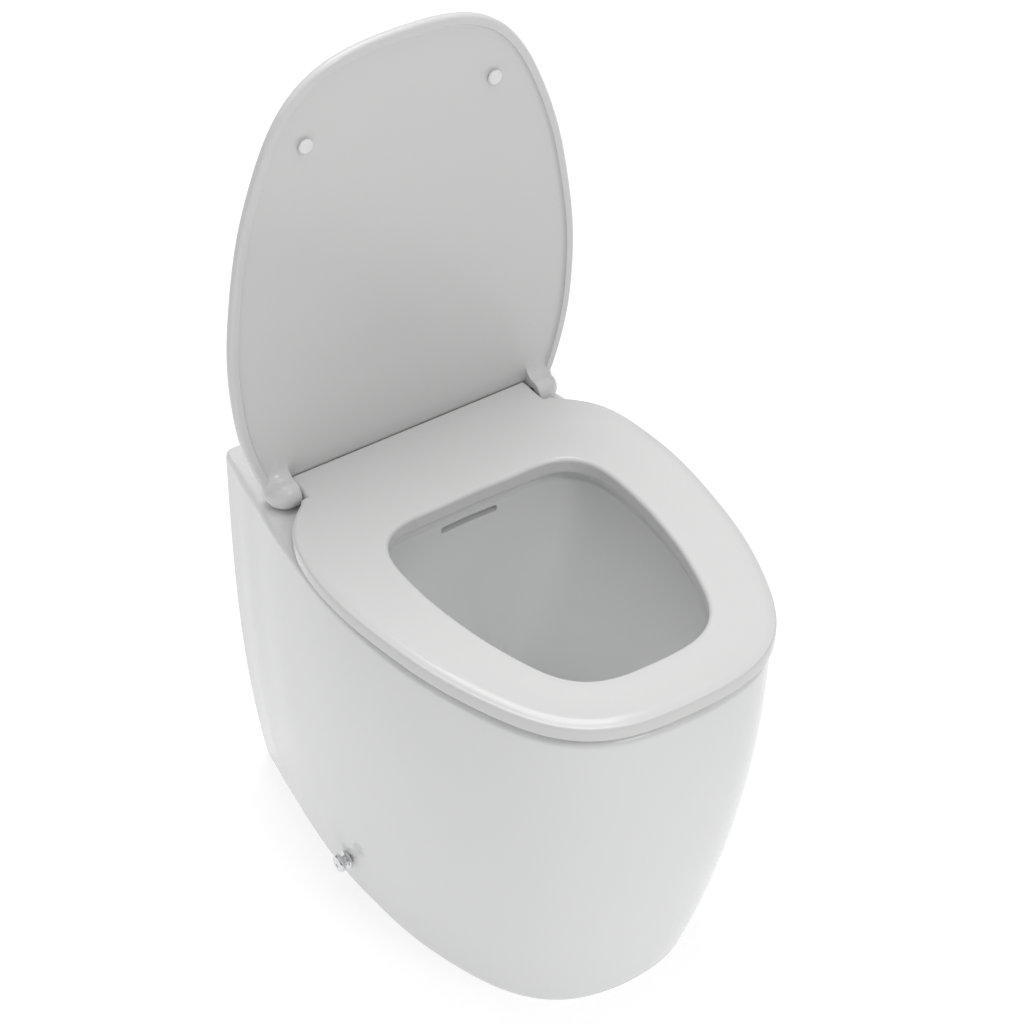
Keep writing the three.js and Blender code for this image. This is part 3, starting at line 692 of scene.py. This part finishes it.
ears = []
for s in (1, -1):
    secs = []
    xs = np.r_[EAR_IN, EAR_IN + 0.5, EAR_IN + 1.2, np.linspace(135, 141, 4), 141 + (EAR_OUT - 141) * np.sin(np.linspace(0, math.pi / 2, 16)[1:])]
    for x in xs:
        u = max(0.0, (x - 141) / (EAR_OUT - 141))
        k = math.sqrt(max(0.0, 1 - u * u))
        k = max(k, 0.12)
        soft = 0.0 if x > EAR_IN + 1 else (1.2 - (x - EAR_IN)) / 1.2
        sc = k * (1 - 0.05 * soft)
        secs.append(ear_section(sc, (1 - k) * 7.0, s * x))
    b = Build()
    b.sheet(secs, cap_first=True, cap_last=True)
    ears.append(b.mesh("ear"))

# The recess: walls with a soft lip and a fillet round a faintly crowned floor; it runs out at the hinge line.
rside = inset(LID_PLAN, 8.6)[:len(lside)]
rside = rside[:np.argmax(rside[:, 1] > -128.0)]
rend = rside[-1]
rtail = np.array(fillet([rend, (rend[0] - 7.0, -111.0), (rend[0] - 12.0, -84.0), (0, -84.0)], [0, 6.0, 0.5, 0], n=6)[1:])
rtail = np.vstack([rtail[:-1], resample(rtail[-2:], 60)[1:]])
REC = mirror(np.vstack([rside, rtail]))
rings = [ring(REC, 421.0), ring(REC, 423.7)]
open_end = np.clip((-104 - REC[:, 1]) / 16.0, 0, 1)
rings += [ring(inset(REC, d * open_end), z) for d, z in ((0.15, 424.2), (0.4, 424.8), (0.8, 425.5), (1.4, 426.1), (2.2, 426.6), (3.3, 426.9), (4.6, 427.0))]
low_q = inset(REC, 4.6 * open_end)
for t in (0.02, 0.06, 0.12, 0.2, 0.3, 0.42, 0.55, 0.68, 0.8, 0.9, 0.97):
    rings.append(crown(shrink(low_q, t), 427.0, 0.5))
rec = Build()
rec.sheet(rings, cap_first=True, cap_last=True)
lid_me = boolean(lid_me, [rec.mesh("recess")], "DIFFERENCE")
lid_me = boolean(lid_me, ears, "UNION")
cuts = [rod(14.4, -132, 132, "x", (0, HY, HZ), 96)]
cuts += [rod(5.3, *(sorted((s * 125, s * 150.3))), "x", (0, HY, HZ), 40) for s in (1, -1)]
lid_me = boolean(lid_me, cuts, "DIFFERENCE")


def turn_mesh(me, fn):
    co = np.empty(len(me.vertices) * 3)
    me.vertices.foreach_get("co", co)
    v = co.reshape(-1, 3)
    part = v * 1000 - np.array([0, SHIFT_Y, 0])
    me.vertices.foreach_set("co", to_row(fn(part)).ravel())
    me.update()


turn_mesh(lid_me, raised)
piece(keep_main(lid_me), "cover", "lid", PLASTIC, ["lid"], angle=38)

# ------------------------------------------------------------------ buffers
for side_name, s in (("right", 1), ("left", -1)):
    prof = rounded([(0, 422.3), (6.3, 422.3), (7.2, 423.3), (6.8, 424.7), (5.2, 425.2), (5.2, 426.9), (0, 426.9)], 0.6, 4)
    prof = [(0, 422.3)] + [q for q in prof[1:-1]] + [(0, 426.9)]
    piece(lathe_mesh(prof, "z", (s * 98, -464, 0), 56, turn=raised), "cover_buffer_" + side_name, "lid", BUFFER,
          ["lid_buffer_" + side_name], angle=60)
    for where, cx, cyy, turn in (("front", s * 62, -516, s * 0.2), ("side", s * 154, -270, math.pi / 2 + s * 0.03)):
        b = Build()
        outl = []
        for k in range(48):
            a = 2 * math.pi * k / 48
            ex = 11 if math.cos(a) > 0 else -11
            outl.append((ex + 6 * math.cos(a), 6 * math.sin(a)))
        outl = np.array(outl)
        c, sn = math.cos(turn), math.sin(turn)
        place = lambda q: np.column_stack([q[:, 0] * c - q[:, 1] * sn + cx, q[:, 0] * sn + q[:, 1] * c + cyy, q[:, 2]])
        lv_ = [(-1.4, 400.4), (-0.5, 400.5), (-0.1, 400.9), (0, 401.4), (0, 404.6), (-0.3, 405.1), (-0.9, 405.4)]
        b.sheet([place(ring(outl * (1 + d / 12), z)) for d, z in lv_], cap_first=True, cap_last=True)
        piece(b.mesh("pad"), "seat_buffer_" + where + "_pad_" + side_name, "seat", BUFFER,
              ["seat_buffer_" + where + "_" + side_name], angle=60)

# ------------------------------------------------------------------ hinge hardware and fixings
for side_name, s in (("right", 1), ("left", -1)):
    o = lambda a, b: (min(s * a, s * b), max(s * a, s * b))
    hx = s * HINGE_X
    post = lathe_mesh(rounded([(0, 400.3), (18, 400.3), (18, 401.7), (0, 401.7)], 0.5), "z", (hx, HY, 0), 72)
    post = boolean(post, [box_mesh(hx - 4, hx + 4, HY - 4.8, HY + 4.8, 401, HZ, bevel=0.5),
                          lathe_mesh(rounded([(0, hx - 4), (4.8, hx - 4), (4.8, hx + 4), (0, hx + 4)], 0.4), "x", (0, HY, HZ), 48)], "UNION")
    post = boolean(post, [rod(2.8, hx - 10, hx + 10, "x", (0, HY, HZ), 32)], "DIFFERENCE")
    piece(post, "hinge_post_plate_" + side_name, "pan", STEEL, ["hinge_post_" + side_name])
    a, b2 = o(66.2, 149)
    piece(lathe_mesh(rounded([(0, a), (2.5, a), (2.5, b2), (0, b2)], 0.5), "x", (0, HY, HZ), 32), "hinge_rod_" + side_name,
          "pan", STEEL, ["hinge_pin_" + side_name])
    a, b2 = o(88.4, 130)
    piece(lathe_mesh(rounded([(2.7, a), (5, a), (5, b2), (2.7, b2)], 0.5, loop=True), "x", (0, HY, HZ), 40, loop=True),
          "damper_sleeve_" + side_name, "seat", GREY, ["soft_close_damper_" + side_name])
    a, b2 = o(132.4, 149.8)
    piece(lathe_mesh(rounded([(2.7, a), (5, a), (5, b2), (2.7, b2)], 0.5, loop=True), "x", (0, HY, HZ), 40, loop=True),
          "cover_bush_" + side_name, "lid", GREY, ["lid_hinge_bush_" + side_name])
    # Studs with a real thread below the deck.
    th = [(0, 350), (3.2, 350)]
    z = 351.0
    while z < 384:
        th += [(3.95, z), (3.35, z + 0.75)]
        z += 1.5
    th += [(3.95, 385), (3.95, 399.6), (3.5, 400), (0, 400)]
    piece(lathe_mesh(th, "z", (hx, HY, 0), 32), "fixing_stud_" + side_name, "pan", STEEL,
          ["hinge_stud_" + side_name], angle=25)
    piece(lathe_mesh(rounded([(4.3, 386.2), (6.5, 386.2), (6.7, 392), (6.5, 399.6), (4.3, 399.8)], 0.5, loop=True), "z", (hx, HY, 0), 40, loop=True),
          "stud_rubber_" + side_name, "pan", RUBBER, ["hinge_stud_bush_" + side_name])
    piece(lathe_mesh(rounded([(4.3, 383.6), (13, 383.6), (13, 385.6), (4.3, 385.6)], 0.4, loop=True), "z", (hx, HY, 0), 48, loop=True),
          "deck_washer_" + side_name, "pan", GREY, ["hinge_washer_" + side_name])
    nut = lathe_mesh(rounded([(0, 368), (7.6, 368), (8.5, 382), (8.5, 383.2), (0, 383.2)], 0.6), "z", (hx, HY, 0), 48)
    nut = boolean(nut, [box_mesh(hx - 21, hx + 21, HY - 2, HY + 2, 369, 380, bevel=1.6)], "UNION")
    nut = boolean(nut, [rod(4.3, 360, 390, "z", (hx, HY, 0), 32)], "DIFFERENCE")
    piece(nut, "wing_nut_" + side_name, "pan", WHITE, ["hinge_wing_nut_" + side_name])

    cap = [(0, 154.4), (9.4, 154.4), (9.4, 156.6), (8.8, 157.3), (5.2, 157.5), (5.2, 161.5), (8.4, 161.7), (9.0, 162.3), (9.0, 165.2),
           (7.9, 166.6), (3.2, 166.8), (2.6, 166.0), (0, 166.0)]
    cap = rounded(cap, 0.35, 4)
    piece(lathe_mesh([(r, s * x) for r, x in cap], "x", (0, -212, 40), 56), "side_cover_cap_" + side_name, "pan", CHROME,
          ["side_cap_" + side_name], angle=50)
    a, b2 = o(104, 154.2)
    piece(lathe_mesh(rounded([(0, a), (3, a), (3, b2), (0, b2)], 0.5), "x", (0, -212, 40), 28), "skirt_screw_" + side_name, "pan",
          STEEL, ["side_screw_" + side_name])
    a, b2 = o(140, 152.4)
    piece(lathe_mesh(rounded([(3.3, a), (4.6, a), (4.6, b2), (3.3, b2)], 0.3, loop=True), "x", (0, -212, 40), 32, loop=True),
          "skirt_sleeve_" + side_name, "pan", WHITE, ["side_sleeve_" + side_name])
    a, b2 = o(72, 128.5)
    c2, d2 = o(120, 128.5)
    br = box_mesh(a, b2, -234, -190, 0.4, 5.4, bevel=1.2)
    br = boolean(br, [box_mesh(c2, d2, -234, -190, 0.4, 49.5, bevel=1.2)], "UNION")
    br = boolean(br, [rod(3.4, *o(105, 140), "x", (0, -212, 40), 28), rod(3.4, -5, 10, "z", (s * 92, -212, 0), 28)], "DIFFERENCE")
    piece(br, "bracket_" + side_name, "pan", GREY, ["floor_bracket_" + side_name])
    piece(lathe_mesh(rounded([(0, 0.6), (3, 0.6), (3, 5.8), (6.5, 5.8), (6.5, 7.6), (4.8, 9.4), (0, 9.8)], 0.5), "z", (s * 92, -212, 0), 32),
          "bracket_screw_" + side_name, "pan", STEEL, ["floor_screw_" + side_name])

# Ribbed rubber rings at the two pipe connections.
seal = [(13.5, -34), (19.3, -34), (19.3, -30), (18.7, -29), (19.3, -28), (19.3, -22), (18.7, -21), (19.3, -20), (19.3, -13),
        (18.7, -12), (19.3, -11), (19.3, -3), (16.5, -3), (13.5, -5)]
piece(lathe_mesh(rounded(seal, 0.4, loop=True), "y", (0, 0, 335), 56, loop=True), "flush_seal", "pan", RUBBER,
      ["flush_inlet_seal"])
collar = [(51.6, -46), (54, -46), (54, -40), (55.2, -39), (54, -37.5), (54, -33), (55.2, -32), (54, -30.5), (54, -24),
          (56.6, -21), (56.6, -15), (51.6, -15)]
piece(lathe_mesh(rounded(collar, 0.6, loop=True), "y", (0, 0, 186), 96, loop=True), "outlet_seal_collar", "pan",
      RUBBER, ["outlet_collar"])

# ------------------------------------------------------------------ floor, light and camera
scene = bpy.context.scene
fm = bpy.data.materials.new("pale_floor")
fm.use_nodes = True
fb = next(n for n in fm.node_tree.nodes if n.type == "BSDF_PRINCIPLED")
fb.inputs["Base Color"].default_value = (0.5, 0.5, 0.5, 1)
fb.inputs["Emission Color"].default_value = (1, 1, 1, 1)
fb.inputs["Emission Strength"].default_value = 0.64
fb.inputs["Roughness"].default_value = 0.9
fb.inputs["Specular IOR Level"].default_value = 0.1
fl = Build()
fl.add([(-9000, -9000, -0.3), (9000, -9000, -0.3), (9000, 9000, -0.3), (-9000, 9000, -0.3)], [(0, 1, 2, 3)])
floor = obj_of(fl.mesh("floor"), "floor")
floor.data.materials.append(fm)


def area(name, loc, aim, size, power, size_y=None):
    ld = bpy.data.lights.new(name, "AREA")
    ld.shape = "RECTANGLE"
    ld.size, ld.size_y = size, size_y or size
    ld.energy = power
    lo = bpy.data.objects.new(name, ld)
    lo.location = loc
    lo.rotation_mode = "QUATERNION"
    lo.rotation_quaternion = (Vector(aim) - Vector(loc)).to_track_quat("-Z", "Y")
    scene.collection.objects.link(lo)
    return lo


area("key", (0.3, -2.5, 2.9), (0, -0.1, 0.3), 0.9, 18)
area("fill", (2.4, -2.2, 1.6), (0, 0, 0.3), 0.4, 0.8, 1.8)
area("top", (0.1, -0.1, 3.4), (0, -0.1, 0.2), 1.4, 14)
area("back", (0.4, 1.0, 3.1), (0, 0, 0.3), 1.4, 26)
area("low", (-0.9, -1.6, 0.7), (0.0, -0.25, 0.1), 1.0, 1.4, 0.5)
world = bpy.data.worlds.new("studio")
scene.world = world
world.use_nodes = True
bg = next(n for n in world.node_tree.nodes if n.type == "BACKGROUND")
nt = world.node_tree
tc = nt.nodes.new("ShaderNodeTexCoord")
sep = nt.nodes.new("ShaderNodeSeparateXYZ")
nt.links.new(tc.outputs["Generated"], sep.inputs["Vector"])
mr = nt.nodes.new("ShaderNodeMapRange")
mr.interpolation_type = "SMOOTHSTEP"
mr.inputs["From Min"].default_value, mr.inputs["From Max"].default_value = 0.0, 0.9
mr.inputs["To Min"].default_value, mr.inputs["To Max"].default_value = 0.15, 0.72
nt.links.new(sep.outputs["Z"], mr.inputs["Value"])
nt.links.new(mr.outputs["Result"], bg.inputs["Strength"])
bg.inputs["Color"].default_value = (1, 1, 1, 1)
scene.view_settings.view_transform = "Standard"
scene.view_settings.look = "None"
scene.view_settings.exposure = 0.0

AZ, EL = math.radians(-34.11), math.radians(39.45)
cam_d = bpy.data.cameras.new("camera")
cam_d.sensor_width = 36.0
cam_d.lens = 3570.6 / 1024 * 36.0
cam_d.clip_start, cam_d.clip_end = 0.1, 50
cam = bpy.data.objects.new("camera", cam_d)
cam.location = (-1.3917, -2.3203 + SHIFT_Y * 0.001, 2.4798)
back = Vector((math.sin(AZ) * math.cos(EL), -math.cos(AZ) * math.cos(EL), math.sin(EL)))
cam.rotation_mode = "QUATERNION"
cam.rotation_quaternion = (-back).to_track_quat("-Z", "Y")
scene.collection.objects.link(cam)
scene.camera = cam
